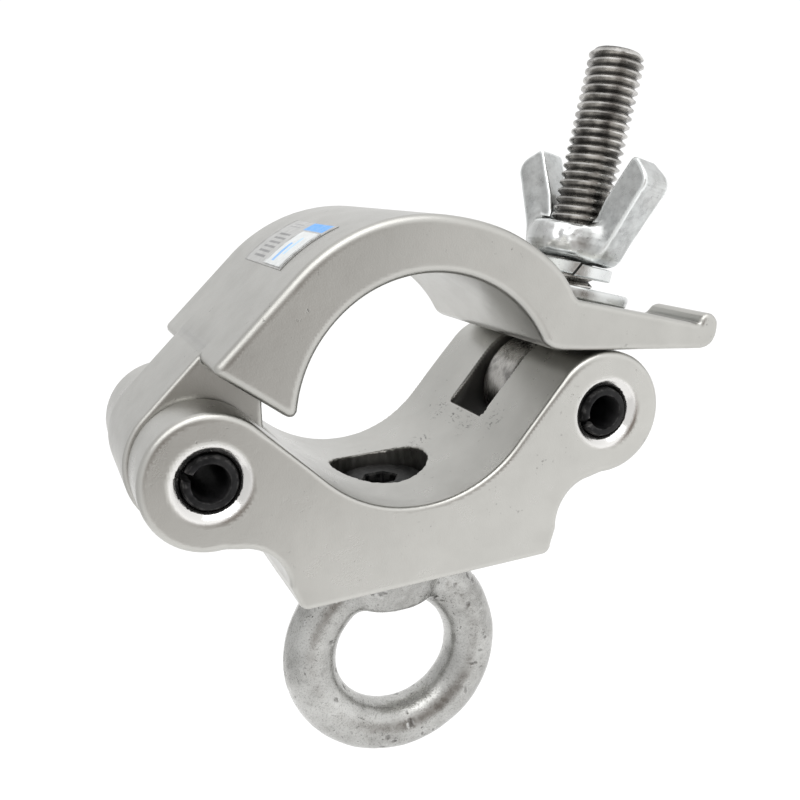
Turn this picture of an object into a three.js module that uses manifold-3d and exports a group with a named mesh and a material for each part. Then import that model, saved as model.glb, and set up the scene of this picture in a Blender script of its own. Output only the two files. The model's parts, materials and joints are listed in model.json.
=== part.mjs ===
// Pipe clamp: a cast half coupler for a 48-51 mm stage tube, with a swing bolt, a wing nut and an eye nut.
// Units are millimetres and +Z is up. The origin is the centre of the tube that the saddle carries:
// +Y runs along the tube, +X towards the swing bolt, and the lifting eye hangs below.
import * as THREE from 'three';
import { mergeVertices } from 'three/addons/utils/BufferGeometryUtils.js';
import Module from 'manifold-3d';

const wasm = await Module();
wasm.setup();

// ---- driving dimensions; a point is [x, z] in the clamp's side view and an angle is in degrees ----
const BODY_WIDTH = 50;
const TUBE_R = 25.5;
const CLEARANCE = 0.3;

// spring pins and their holes
const PIN_X = 38.2;
const PIN_Z = -14.3;
const PIN_R = 5;
const PIN_BORE_R = 2.9;
const PIN_LENGTH = 48.6;
const PIN_SLOT = 1.6;
const HINGE_PIN_SLOT_ANGLE = 205;
const BOLT_PIN_SLOT_ANGLE = 160;
const PIN_HOLE_R = PIN_R + CLEARANCE;
const PIN_CHAMFER_R = 7;
const PIN_CHAMFER_DEPTH = 1.5;

// base
const LUG_R = 11.8;
const LUG_UNDERSIDE_ANGLE = -62;
const BASE_BOTTOM_Z = -40.5;
const BASE_HALF_WIDTH = 25.4;
const BASE_CORNER_R = 1.8;
const BASE_SHOULDER_X = 26.2;
const BASE_SHOULDER_Z = -35.6;
const BASE_FLANK_R = 9.4;
const BASE_FLANK_END_ANGLE = 96;
const FORK_GAP = 25.8;
const FORK_POCKET_R = 14.2;
const BOLT_SLOT = 14.4;
const BOLT_SLOT_START_X = 20.3;
const BOLT_SLOT_FLOOR_Z = -27.6;
const COUNTERBORE_R = 10;
const COUNTERBORE_FLOOR_Z = -34.5;
const SCREW_HOLE_R = 6.4;
const SPOT_FACE_R = 13;
const SPOT_FACE_DEPTH = 0.4;

// jaw's arm and tongue
const JAW_TONGUE = 25;
const JAW_INNER_X = 2.1;
const JAW_INNER_Z = -8.9;
const JAW_INNER_R = 25;
const JAW_INNER_END_ANGLE = 24;
const JAW_OUTER_X = 0.9;
const JAW_OUTER_Z = -6.6;
const JAW_OUTER_R = 32.85;
const JAW_FLANK_ANGLE = 131.6;
const JAW_SHOULDER_ANGLE = 80;
const JAW_BROW_CORNER = [15, 24.27];
const JAW_BROW = [20.6, 20.9];
const KNUCKLE_R = 12.6;
const KNUCKLE_END_ANGLE = 340;
const STEP_OUTER = [-36.4, 4.4];
const STEP_TIP = [-25, -4.7];
const STEP_TIP_ROUND = 1.5;
const TONGUE_ROOT = [[-25.6, -3.7], [-24, 2], [-28, 11]];

// jaw's clamping tab
const TAB_SLOPE = 15.8;
const TAB_TOP_START = [31.8, 8.35];
const TAB_TOP_ROUND = 1;
const TAB_NECK = [31.1, 10.5];
const TAB_SHOULDER_CORNER = [28.6, 16.1];
const TAB_HOLLOW_CORNER = [26.2, -0.63];
const TAB_UNDERSIDE_START = [29.2, -0.96];
const TAB_UNDERSIDE_END = [60.6, -4.35];
const TAB_TIP_X = 64.5;
const TAB_TIP_ROUND = 1.6;
const TAB_LIP_INNER_X = 60.1;
const TAB_LIP_RISE = 1.6;
const TAB_LIP_SLANT = 0.9;
const TAB_CROWN_X = 63.3;
const TAB_CROWN_RISE = 1.1;
const TAB_SLOT_INNER_X = 36.2;

// swing bolt and washers; heights are along the rod from its pin
const BOLT_TILT = 16.4;
const BOLT_R = 5.8;
const BOLT_EYE_R = 11.1;
const BOLT_EYE_THICKNESS = 13.6;
const BOLT_LENGTH = 70.8;
const BOLT_END_CHAMFER = 1.1;
const WASHER_BORE_R = 6.5;
const FLAT_WASHER_R = 13.2;
const FLAT_WASHER_SHIFT = 0.4;
const FLAT_WASHER_THICKNESS = 2.4;
const FLAT_WASHER_AT = 21;
const SPRING_WASHER_R = 9.2;
const SPRING_WASHER_THICKNESS = 2.7;
const SPRING_WASHER_AT = 24.7;
const SPRING_WASHER_SPLIT = 1.4;
const SPRING_WASHER_SPLIT_LEAN = 25;
const SPRING_WASHER_SPLIT_YAW = -118;

// wing nut
const NUT_AT = 27.75;
const NUT_YAW = 72;
const NUT_HUB_FOOT_R = 9.2;
const NUT_HUB_R = 10.4;
const NUT_HUB_TOP_R = 9;
const NUT_HUB_HEIGHT = 7.2;
const NUT_HUB_BELLY_Z = 3;
const NUT_BORE_R = BOLT_R + CLEARANCE;
const NUT_WING_THICKNESS = 6.4;
const NUT_WING_CORNERS = [
  { at: [0, 1] },
  { at: [9.2, 1] },
  { at: [11.3, 4], round: 3.2 },
  { at: [17, 17], round: 0.9 },
  { at: [12, 22], round: 0.7 },
  { at: [7.6, 13.4] },
  { at: [6.6, 6.4] },
  { at: [0, 6.4] },
];

// eye screw
const SCREW_HEAD_R = 9;
const SCREW_HEAD_HEIGHT = 7;
const SCREW_HEAD_EDGE = 0.6;
const SCREW_R = 5.85;
const SCREW_HEX_ACROSS = 6.6;
const SCREW_HEX_DEPTH = 4.4;
const SCREW_END_Z = -50.6;
const SCREW_END_CHAMFER = 1;

// eye nut
const EYE_YAW = -3.7;
const EYE_RING_Z = -66.3;
const EYE_RING_R = 18;
const EYE_SECTION_R = 5.4;
const EYE_COLLAR_R = 12.5;
const EYE_COLLAR_BAND = 4.4;
const EYE_COLLAR_NECK_R = 9.8;
const EYE_COLLAR_EDGE = 1.2;
const EYE_COLLAR_TOP_Z = BASE_BOTTOM_Z + SPOT_FACE_DEPTH - CLEARANCE;
const EYE_COLLAR_BOTTOM_Z = -53.8;
const EYE_THREAD_R = SCREW_R + CLEARANCE;

// sticker on the jaw
const LABEL_WIDTH = 24;
const LABEL_CENTRE_Y = -1.5;
const LABEL_THICKNESS = 0.5;
const LABEL_START_ANGLE = 108.5;
const LABEL_END_ANGLE = 131.5;

// mesh density; REACH is longer than the clamp, for cutters that run right through it
const CURVE_SEGMENTS = 20;
const ROUND_SEGMENTS = 48;
const RING_SEGMENTS = 56;
const RING_SIDES = 16;
const MERGE_TOLERANCE = 1e-4;
const OVERSHOOT = 1;
const REACH = 200;

// ---- finishes ----
const CAST_ALUMINIUM = { color: 0xb9b8b3, roughness: 0.42, metalness: 0.85 };
const BLACKENED_STEEL = { color: 0x191a1c, roughness: 0.39, metalness: 0.7 };
const BARE_STEEL = { color: 0x77736c, roughness: 0.38, metalness: 0.9 };
const ZINC_PLATE = { color: 0xb0b8bc, roughness: 0.33, metalness: 0.95 };
const GALVANISED_STEEL = { color: 0x9da2a3, roughness: 0.5, metalness: 0.85 };
const LABEL_FILM = { color: 0xd9dbda, roughness: 0.6, metalness: 0 };

// ---- small helpers ----
const radians = THREE.MathUtils.degToRad;

function toManifold(geometry) {
  const bare = geometry.clone();
  bare.deleteAttribute('normal');
  bare.deleteAttribute('uv');
  const merged = mergeVertices(bare, MERGE_TOLERANCE);
  const vertProperties = new Float32Array(merged.attributes.position.array);
  const triVerts = new Uint32Array(merged.index.array);
  return new wasm.Manifold(new wasm.Mesh({ numProp: 3, vertProperties, triVerts }));
}

function toGeometry(solid) {
  const { vertProperties, triVerts } = solid.getMesh();
  const geometry = new THREE.BufferGeometry();
  geometry.setAttribute('position', new THREE.BufferAttribute(new Float32Array(vertProperties), 3));
  geometry.setIndex(new THREE.BufferAttribute(new Uint32Array(triVerts), 1));
  return geometry;
}

function join(...blanks) {
  return blanks.map(toManifold).reduce((solid, blank) => solid.add(blank));
}

function cut(solid, ...tools) {
  return tools.map(toManifold).reduce((left, tool) => left.subtract(tool), solid);
}

function piece(name, geometry, finish) {
  const part = new THREE.Mesh(geometry, new THREE.MeshStandardMaterial(finish));
  part.name = name;
  return part;
}

// A plate with its outline in the XZ plane, centred on the given Y.
function plate(shape, thickness, centreY = 0) {
  const geometry = new THREE.ExtrudeGeometry(shape, {
    depth: thickness, bevelEnabled: false, curveSegments: CURVE_SEGMENTS,
  });
  geometry.rotateX(Math.PI / 2);
  geometry.translate(0, centreY + thickness / 2, 0);
  return geometry;
}

// A round bar along Y through (x, z); it can taper to another radius at its +Y end.
function barAlongY(radius, length, x = 0, z = 0, centreY = 0, endRadius = radius) {
  const geometry = new THREE.CylinderGeometry(endRadius, radius, length, ROUND_SEGMENTS);
  geometry.translate(x, centreY, z);
  return geometry;
}

// A round or many-sided bar on the Z axis, from one height to another.
function barAlongZ(radius, bottom, top, sides = ROUND_SEGMENTS) {
  const geometry = new THREE.CylinderGeometry(radius, radius, top - bottom, sides);
  geometry.rotateX(Math.PI / 2);
  geometry.translate(0, 0, (bottom + top) / 2);
  return geometry;
}

// A solid of revolution about Z from [radius, height] points.
function turned(points) {
  const profile = points.map(([radius, height]) => new THREE.Vector2(radius, height));
  const geometry = new THREE.LatheGeometry([...profile, profile[0]], ROUND_SEGMENTS);
  geometry.rotateX(Math.PI / 2);
  return geometry;
}

function box(x0, x1, y0, y1, z0, z1) {
  const geometry = new THREE.BoxGeometry(x1 - x0, y1 - y0, z1 - z0);
  geometry.translate((x0 + x1) / 2, (y0 + y1) / 2, (z0 + z1) / 2);
  return geometry;
}

function pointOn(x, z, radius, angle) {
  return [x + radius * Math.cos(radians(angle)), z + radius * Math.sin(radians(angle))];
}

function towards([x0, z0], [x1, z1], distance) {
  const share = distance / Math.hypot(x1 - x0, z1 - z0);
  return [x0 + (x1 - x0) * share, z0 + (z1 - z0) * share];
}

// ---- base: saddle, two pairs of lugs and the eye screw's seat ----
// Angle, seen from the tube's centre, at which the hollow saddle meets the round lug beside it.
function saddleEndAngle() {
  const distance = Math.hypot(PIN_X, PIN_Z);
  const lean = Math.acos((TUBE_R + LUG_R) / distance);
  return THREE.MathUtils.radToDeg(Math.atan2(PIN_Z, PIN_X) - lean);
}

function baseOutline() {
  const shape = new THREE.Shape();
  const saddleEnd = saddleEndAngle();
  const lugEnd = 180 + saddleEnd;
  const cornerX = BASE_HALF_WIDTH - BASE_CORNER_R;
  const cornerZ = BASE_BOTTOM_Z + BASE_CORNER_R;
  const flankX = BASE_SHOULDER_X + BASE_FLANK_R;
  const flankEnd = radians(BASE_FLANK_END_ANGLE);
  shape.moveTo(-cornerX, BASE_BOTTOM_Z);
  shape.lineTo(cornerX, BASE_BOTTOM_Z);
  shape.absarc(cornerX, cornerZ, BASE_CORNER_R, -Math.PI / 2, 0, false);
  shape.lineTo(BASE_SHOULDER_X, BASE_SHOULDER_Z);
  shape.absarc(flankX, BASE_SHOULDER_Z, BASE_FLANK_R, Math.PI, flankEnd, true);
  shape.absarc(PIN_X, PIN_Z, LUG_R, radians(LUG_UNDERSIDE_ANGLE), radians(lugEnd), false);
  shape.absarc(0, 0, TUBE_R, radians(saddleEnd), radians(-180 - saddleEnd), true);
  shape.absarc(-PIN_X, PIN_Z, LUG_R, radians(180 - lugEnd), radians(180 - LUG_UNDERSIDE_ANGLE), false);
  shape.absarc(-flankX, BASE_SHOULDER_Z, BASE_FLANK_R, Math.PI - flankEnd, 0, true);
  shape.lineTo(-BASE_HALF_WIDTH, cornerZ);
  shape.absarc(-cornerX, cornerZ, BASE_CORNER_R, Math.PI, 1.5 * Math.PI, false);
  return shape;
}

// The hole for a spring pin, with a wide chamfer at both of its mouths.
function pinHole(x) {
  const mouth = PIN_CHAMFER_DEPTH + OVERSHOOT;
  const flare = PIN_HOLE_R + (PIN_CHAMFER_R - PIN_HOLE_R) * (mouth / PIN_CHAMFER_DEPTH);
  const centre = BODY_WIDTH / 2 - PIN_CHAMFER_DEPTH + mouth / 2;
  return [
    barAlongY(PIN_HOLE_R, BODY_WIDTH + 2 * OVERSHOOT, x, PIN_Z),
    barAlongY(PIN_HOLE_R, mouth, x, PIN_Z, centre, flare),
    barAlongY(flare, mouth, x, PIN_Z, -centre, PIN_HOLE_R),
  ];
}

function base() {
  const fork = FORK_GAP / 2;
  const slot = BOLT_SLOT / 2;
  const solid = cut(
    toManifold(plate(baseOutline(), BODY_WIDTH)),
    ...pinHole(PIN_X),
    ...pinHole(-PIN_X),
    barAlongY(FORK_POCKET_R, FORK_GAP, -PIN_X, PIN_Z),
    box(-REACH, -PIN_X, -fork, fork, PIN_Z - FORK_POCKET_R, REACH),
    box(BOLT_SLOT_START_X, REACH, -slot, slot, BOLT_SLOT_FLOOR_Z, REACH),
    barAlongZ(COUNTERBORE_R, COUNTERBORE_FLOOR_Z, REACH),
    barAlongZ(SCREW_HOLE_R, -REACH, REACH),
    barAlongZ(SPOT_FACE_R, -REACH, BASE_BOTTOM_Z + SPOT_FACE_DEPTH),
  );
  return piece('base_saddle', toGeometry(solid), CAST_ALUMINIUM);
}

// ---- jaw: hinged upper half with its knuckle tongue and the slotted clamping tab ----
function onTabTop(x) {
  return [x, TAB_TOP_START[1] - (x - TAB_TOP_START[0]) * Math.tan(radians(TAB_SLOPE))];
}

// The jaw's side view, from the step's rounded tip along the hollow to the tab and back over the top.
function jawOutline() {
  const shape = new THREE.Shape();
  const [tipX, tipZ] = STEP_TIP;
  const hollowRise = tipZ + STEP_TIP_ROUND - JAW_INNER_Z;
  const hollowStart = THREE.MathUtils.radToDeg(Math.atan2(hollowRise, tipX - JAW_INNER_X));
  const hollowEnd = radians(JAW_INNER_END_ANGLE);
  const shoulder = pointOn(JAW_OUTER_X, JAW_OUTER_Z, JAW_OUTER_R, JAW_SHOULDER_ANGLE);
  const flank = radians(JAW_FLANK_ANGLE);
  const lipFoot = onTabTop(TAB_LIP_INNER_X);
  const lipTop = lipFoot[1] + TAB_LIP_RISE;
  shape.moveTo(...towards(STEP_TIP, STEP_OUTER, STEP_TIP_ROUND));
  shape.quadraticCurveTo(tipX, tipZ, ...pointOn(JAW_INNER_X, JAW_INNER_Z, JAW_INNER_R, hollowStart));
  shape.absarc(JAW_INNER_X, JAW_INNER_Z, JAW_INNER_R, radians(hollowStart), hollowEnd, true);
  shape.quadraticCurveTo(...TAB_HOLLOW_CORNER, ...TAB_UNDERSIDE_START);
  shape.lineTo(...TAB_UNDERSIDE_END);
  shape.quadraticCurveTo(TAB_TIP_X, TAB_UNDERSIDE_END[1], TAB_TIP_X, lipTop - TAB_TIP_ROUND);
  shape.quadraticCurveTo(TAB_CROWN_X, lipTop + TAB_CROWN_RISE, TAB_LIP_INNER_X + TAB_LIP_SLANT, lipTop);
  shape.lineTo(...lipFoot);
  shape.lineTo(...onTabTop(TAB_TOP_START[0] + TAB_TOP_ROUND));
  shape.quadraticCurveTo(...TAB_TOP_START, ...TAB_NECK);
  shape.quadraticCurveTo(...TAB_SHOULDER_CORNER, ...JAW_BROW);
  shape.quadraticCurveTo(...JAW_BROW_CORNER, ...shoulder);
  shape.absarc(JAW_OUTER_X, JAW_OUTER_Z, JAW_OUTER_R, radians(JAW_SHOULDER_ANGLE), flank, false);
  shape.lineTo(...STEP_OUTER);
  return shape;
}

function tongueOutline() {
  const shape = new THREE.Shape();
  const start = radians(JAW_FLANK_ANGLE);
  shape.moveTo(...pointOn(-PIN_X, PIN_Z, KNUCKLE_R, KNUCKLE_END_ANGLE));
  TONGUE_ROOT.forEach((point) => shape.lineTo(...point));
  shape.lineTo(...STEP_OUTER);
  shape.lineTo(...pointOn(-PIN_X, PIN_Z, KNUCKLE_R, JAW_FLANK_ANGLE));
  shape.absarc(-PIN_X, PIN_Z, KNUCKLE_R, start, radians(KNUCKLE_END_ANGLE), false);
  return shape;
}

// The open-ended slot for the swing bolt: its walls lean with the rod.
function tabSlot() {
  const radius = BOLT_SLOT / 2;
  const end = barAlongZ(radius, -REACH / 2, REACH / 2);
  const run = box(0, REACH, -radius, radius, -REACH / 2, REACH / 2);
  return [end, run].map((tool) => {
    tool.rotateY(radians(BOLT_TILT));
    tool.translate(TAB_SLOT_INNER_X + radius, 0, 0);
    return tool;
  });
}

function jaw() {
  const solid = cut(
    join(plate(jawOutline(), BODY_WIDTH), plate(tongueOutline(), JAW_TONGUE)),
    barAlongY(PIN_HOLE_R, REACH, -PIN_X, PIN_Z),
    ...tabSlot(),
  );
  return piece('jaw', toGeometry(solid), CAST_ALUMINIUM);
}

// ---- slotted spring pins ----
function springPin(name, x, slotAngle) {
  const solid = cut(
    toManifold(barAlongY(PIN_R, PIN_LENGTH)),
    barAlongY(PIN_BORE_R, REACH),
    box(0, REACH, -REACH, REACH, -PIN_SLOT / 2, PIN_SLOT / 2),
  );
  const geometry = toGeometry(solid);
  geometry.rotateY(radians(slotAngle));
  const part = piece(name, geometry, BLACKENED_STEEL);
  part.position.set(x, 0, PIN_Z);
  return part;
}

// ---- swing bolt and what is screwed on it; this group's +Z runs along the rod from the pin ----
function swingBolt() {
  const eye = barAlongY(BOLT_EYE_R, BOLT_EYE_THICKNESS);
  const rod = turned([
    [0, 0], [BOLT_R, 0], [BOLT_R, BOLT_LENGTH - BOLT_END_CHAMFER],
    [BOLT_R - BOLT_END_CHAMFER, BOLT_LENGTH], [0, BOLT_LENGTH],
  ]);
  const solid = cut(join(eye, rod), barAlongY(PIN_HOLE_R, REACH));
  return piece('swing_bolt', toGeometry(solid), BARE_STEEL);
}

function washerRing(radius, thickness) {
  return turned([[WASHER_BORE_R, 0], [radius, 0], [radius, thickness], [WASHER_BORE_R, thickness]]);
}

// The loose flat washer lies slid against the low side of the rod.
function flatWasher() {
  const part = piece('flat_washer', washerRing(FLAT_WASHER_R, FLAT_WASHER_THICKNESS), ZINC_PLATE);
  part.position.set(FLAT_WASHER_SHIFT, 0, FLAT_WASHER_AT);
  return part;
}

function springWasher() {
  const ring = toManifold(washerRing(SPRING_WASHER_R, SPRING_WASHER_THICKNESS));
  const split = box(0, REACH, -SPRING_WASHER_SPLIT / 2, SPRING_WASHER_SPLIT / 2, -REACH, REACH);
  split.rotateX(radians(SPRING_WASHER_SPLIT_LEAN));
  split.rotateZ(radians(SPRING_WASHER_SPLIT_YAW));
  const part = piece('spring_washer', toGeometry(cut(ring, split)), ZINC_PLATE);
  part.position.z = SPRING_WASHER_AT;
  return part;
}

// One wing from the axis outwards: it leans away from the rod and is cut off square to its own slope.
function wingOutline() {
  const shape = new THREE.Shape();
  NUT_WING_CORNERS.forEach(({ at, round }, index) => {
    if (round) {
      const before = towards(at, NUT_WING_CORNERS[index - 1].at, round);
      const after = towards(at, NUT_WING_CORNERS[index + 1].at, round);
      shape.lineTo(...before);
      shape.quadraticCurveTo(...at, ...after);
    } else if (index === 0) {
      shape.moveTo(...at);
    } else {
      shape.lineTo(...at);
    }
  });
  return shape;
}

function wingNut() {
  const hub = turned([
    [0, 0], [NUT_HUB_FOOT_R, 0], [NUT_HUB_R, NUT_HUB_BELLY_Z],
    [NUT_HUB_TOP_R, NUT_HUB_HEIGHT], [0, NUT_HUB_HEIGHT],
  ]);
  const wing = plate(wingOutline(), NUT_WING_THICKNESS);
  const otherWing = wing.clone();
  otherWing.rotateZ(Math.PI);
  const solid = cut(join(hub, wing, otherWing), barAlongZ(NUT_BORE_R, -REACH, REACH));
  const part = piece('wing_nut', toGeometry(solid), ZINC_PLATE);
  part.position.z = NUT_AT;
  part.rotation.z = radians(-NUT_YAW);
  return part;
}

function swingAssembly() {
  const group = new THREE.Group();
  group.add(swingBolt(), flatWasher(), springWasher(), wingNut());
  group.position.set(PIN_X, 0, PIN_Z);
  group.rotation.y = radians(BOLT_TILT);
  return group;
}

// ---- eye nut and the socket screw that holds it to the base ----
function eyeScrew() {
  const headBottom = COUNTERBORE_FLOOR_Z + CLEARANCE;
  const headTop = headBottom + SCREW_HEAD_HEIGHT;
  const hexR = SCREW_HEX_ACROSS / 2 / Math.cos(Math.PI / 6);
  const body = turned([
    [0, SCREW_END_Z], [SCREW_R - SCREW_END_CHAMFER, SCREW_END_Z],
    [SCREW_R, SCREW_END_Z + SCREW_END_CHAMFER], [SCREW_R, headBottom],
    [SCREW_HEAD_R, headBottom], [SCREW_HEAD_R, headTop - SCREW_HEAD_EDGE],
    [SCREW_HEAD_R - SCREW_HEAD_EDGE, headTop], [0, headTop],
  ]);
  const solid = cut(toManifold(body), barAlongZ(hexR, headTop - SCREW_HEX_DEPTH, REACH, 6));
  return piece('eye_screw', toGeometry(solid), BLACKENED_STEEL);
}

function eyeNut() {
  const ring = new THREE.TorusGeometry(EYE_RING_R, EYE_SECTION_R, RING_SIDES, RING_SEGMENTS);
  ring.rotateX(Math.PI / 2);
  ring.translate(0, 0, EYE_RING_Z);
  const collar = turned([
    [0, EYE_COLLAR_BOTTOM_Z], [EYE_COLLAR_NECK_R - EYE_COLLAR_EDGE, EYE_COLLAR_BOTTOM_Z],
    [EYE_COLLAR_NECK_R, EYE_COLLAR_BOTTOM_Z + EYE_COLLAR_EDGE],
    [EYE_COLLAR_R, EYE_COLLAR_TOP_Z - EYE_COLLAR_BAND],
    [EYE_COLLAR_R, EYE_COLLAR_TOP_Z], [0, EYE_COLLAR_TOP_Z],
  ]);
  const thread = barAlongZ(EYE_THREAD_R, SCREW_END_Z - OVERSHOOT, REACH);
  const part = piece('eye_nut', toGeometry(cut(join(ring, collar), thread)), GALVANISED_STEEL);
  part.rotation.z = radians(EYE_YAW);
  return part;
}

// ---- plain sticker on the jaw's outer face ----
function blankLabel() {
  const shape = new THREE.Shape();
  const start = radians(LABEL_START_ANGLE);
  const end = radians(LABEL_END_ANGLE);
  const underside = JAW_OUTER_R + CLEARANCE;
  shape.absarc(0, 0, underside, start, end, false);
  shape.absarc(0, 0, underside + LABEL_THICKNESS, end, start, true);
  const part = piece('blank_label', plate(shape, LABEL_WIDTH, LABEL_CENTRE_Y), LABEL_FILM);
  part.position.set(JAW_OUTER_X, 0, JAW_OUTER_Z);
  return part;
}

const clamp = new THREE.Group();
clamp.add(
  base(),
  jaw(),
  springPin('hinge_spring_pin', -PIN_X, HINGE_PIN_SLOT_ANGLE),
  springPin('bolt_spring_pin', PIN_X, BOLT_PIN_SLOT_ANGLE),
  swingAssembly(),
  eyeScrew(),
  eyeNut(),
  blankLabel(),
);

export default clamp;
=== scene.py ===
import json
import math

import bmesh
import bpy
import numpy as np
from mathutils import Matrix, Vector


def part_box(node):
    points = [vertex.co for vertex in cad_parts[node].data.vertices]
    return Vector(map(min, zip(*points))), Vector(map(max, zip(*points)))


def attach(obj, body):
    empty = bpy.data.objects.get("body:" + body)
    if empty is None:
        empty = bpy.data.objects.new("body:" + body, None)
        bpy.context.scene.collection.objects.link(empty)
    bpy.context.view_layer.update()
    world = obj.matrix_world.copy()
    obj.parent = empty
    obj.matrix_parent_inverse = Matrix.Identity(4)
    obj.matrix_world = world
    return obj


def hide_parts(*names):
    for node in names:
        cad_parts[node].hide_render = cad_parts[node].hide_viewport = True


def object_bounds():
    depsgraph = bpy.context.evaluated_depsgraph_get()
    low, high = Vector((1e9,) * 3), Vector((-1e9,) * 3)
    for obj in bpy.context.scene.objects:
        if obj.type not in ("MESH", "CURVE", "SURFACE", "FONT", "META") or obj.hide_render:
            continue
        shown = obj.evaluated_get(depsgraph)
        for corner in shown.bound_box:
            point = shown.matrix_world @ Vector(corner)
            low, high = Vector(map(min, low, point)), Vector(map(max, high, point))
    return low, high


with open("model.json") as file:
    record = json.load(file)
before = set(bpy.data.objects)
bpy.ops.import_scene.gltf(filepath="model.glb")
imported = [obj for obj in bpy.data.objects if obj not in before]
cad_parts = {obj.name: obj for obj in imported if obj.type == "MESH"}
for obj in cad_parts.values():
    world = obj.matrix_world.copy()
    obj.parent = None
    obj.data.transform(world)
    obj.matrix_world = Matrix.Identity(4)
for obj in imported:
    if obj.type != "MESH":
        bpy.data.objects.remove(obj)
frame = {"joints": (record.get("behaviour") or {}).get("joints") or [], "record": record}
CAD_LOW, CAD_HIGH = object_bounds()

# Everything is modelled in millimetres in the row frame, and scaled when it becomes a mesh.
MM = 0.001
joints = {joint["name"]: joint for joint in frame["joints"]}
mounts = {mount["name"]: mount for mount in frame["record"]["mounts"]}


def node_box(name):
    low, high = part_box(name)
    return np.array(low) / MM, np.array(high) / MM


BASE_LOW, BASE_HIGH = node_box("base_saddle")
HALF_WIDTH = BASE_HIGH[1]
BASE_BOTTOM = BASE_LOW[2]
TUBE_R = mounts["tube_seat"]["dims"]["r_mm"]
HINGE_X, _, HINGE_Z = np.array(joints["jaw_hinge"]["pos_m"]) / MM
BOLT_X, _, BOLT_Z = np.array(joints["swing_bolt_hinge"]["pos_m"]) / MM
ROD_AXIS = np.array(joints["nut_travel"]["axis"]) / np.linalg.norm(joints["nut_travel"]["axis"])

PIN_HOLE_R = 5.1
PIN_FLARE_R = 6.8
PIN_R = 4.9
LUG_R = 12.0
FORK_HALF = 12.9
FORK_POCKET_R = 14.2
SLOT_HALF = 7.2
SLOT_START = 20.3
SLOT_FLOOR = -27.6
COUNTERBORE_R = 10.0
COUNTERBORE_FLOOR = -34.5
SCREW_HOLE_R = 6.4
TONGUE_HALF = 12.5
KNUCKLE_R = 12.75
THREAD_PITCH = 1.75
ROD_R = 5.8
ROD_END = 70.8
NUT_AT = 27.75
FLAT_WASHER_AT = 20.1
FLAT_WASHER_SHIFT = 0.5
SPRING_WASHER_AT = 24.6
BOLT_EYE_R = 11.0
BOLT_EYE_HALF = 6.8
BOLT_NECK_R = 5.2
NUT_YAW = -72
EYE_YAW = -3.7
EYE_RING_Z = -66.3
EYE_RING_R = 18
EYE_SECTION_R = 5.45
BASE_CORNER_R = 1.8
FLANK_CENTRE = (35.4, -35.6)
FLANK_R = 8.8


# ---- distance fields: each gives the distance to a shape, negative inside it ----
def circle(x, z, cx, cz, radius):
    return np.hypot(x - cx, z - cz) - radius


def half_plane(x, z, px, pz, angle):
    turn = math.radians(angle)
    return (x - px) * math.cos(turn) + (z - pz) * math.sin(turn)


def polygon(x, z, points):
    x, z = np.broadcast_arrays(x, z)
    nearest = np.full(x.shape, 1e9)
    inside = np.zeros(x.shape, bool)
    for (x0, z0), (x1, z1) in zip(points, points[1:] + points[:1]):
        ex, ez = x1 - x0, z1 - z0
        wx, wz = x - x0, z - z0
        along = np.clip((wx * ex + wz * ez) / (ex * ex + ez * ez), 0, 1)
        nearest = np.minimum(nearest, (wx - ex * along) ** 2 + (wz - ez * along) ** 2)
        if ez != 0:
            inside ^= ((z0 <= z) != (z1 <= z)) & (wx < wz * ex / ez)
    return np.where(inside, -1, 1) * np.sqrt(nearest)


def round_max(a, b, radius):
    """Where both shapes overlap, with their shared edge rounded."""
    corner = np.hypot(np.maximum(a + radius, 0), np.maximum(b + radius, 0))
    return np.minimum(np.maximum(a, b), -radius) + corner


def round_min(a, b, radius):
    """Both shapes together, with a fillet where they meet."""
    corner = np.hypot(np.maximum(radius - a, 0), np.maximum(radius - b, 0))
    return np.maximum(np.minimum(a, b), radius) - corner


def smooth_step(value, low, high):
    share = np.clip((value - low) / (high - low), 0, 1)
    return share * share * (3 - 2 * share)


def noise(x, y, z, size, seed):
    """Smooth value noise from -1 to 1."""
    scaled = [np.asarray(c) / size for c in (x, y, z)]
    cells = [np.floor(c) for c in scaled]
    weights = [smooth_step(c - k, 0, 1) for c, k in zip(scaled, cells)]
    total = 0
    for corner in range(8):
        step = [(corner >> k) & 1 for k in range(3)]
        lattice = sum((c + s) * m for c, s, m in zip(cells, step, (127.1, 311.7, 74.7)))
        h = np.sin(lattice + seed * 19.19) * 43758.5453
        share = 1
        for weight, s in zip(weights, step):
            share = share * (weight if s else 1 - weight)
        total = total + share * (h - np.floor(h))
    return 2 * total - 1


def arc(cx, cz, radius, start, end, count):
    angles = np.radians(np.linspace(start, end, count))
    return [(cx + radius * math.cos(a), cz + radius * math.sin(a)) for a in angles]


def bend(p0, p1, p2, count=7):
    p0, p1, p2 = np.array(p0), np.array(p1), np.array(p2)
    return [tuple((1 - t) ** 2 * p0 + 2 * t * (1 - t) * p1 + t * t * p2) for t in np.linspace(0, 1, count)]


# ---- from a distance field to a mesh ----
TETRAHEDRON = np.array([(1, -1, -1), (-1, -1, 1), (-1, 1, -1), (1, 1, 1)], float)


def slopes(field, points, reach):
    values = [field(*(points + reach * k).T) for k in TETRAHEDRON]
    return sum(v[:, None] * k for v, k in zip(values, TETRAHEDRON)) / (4 * reach), sum(values)


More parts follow.
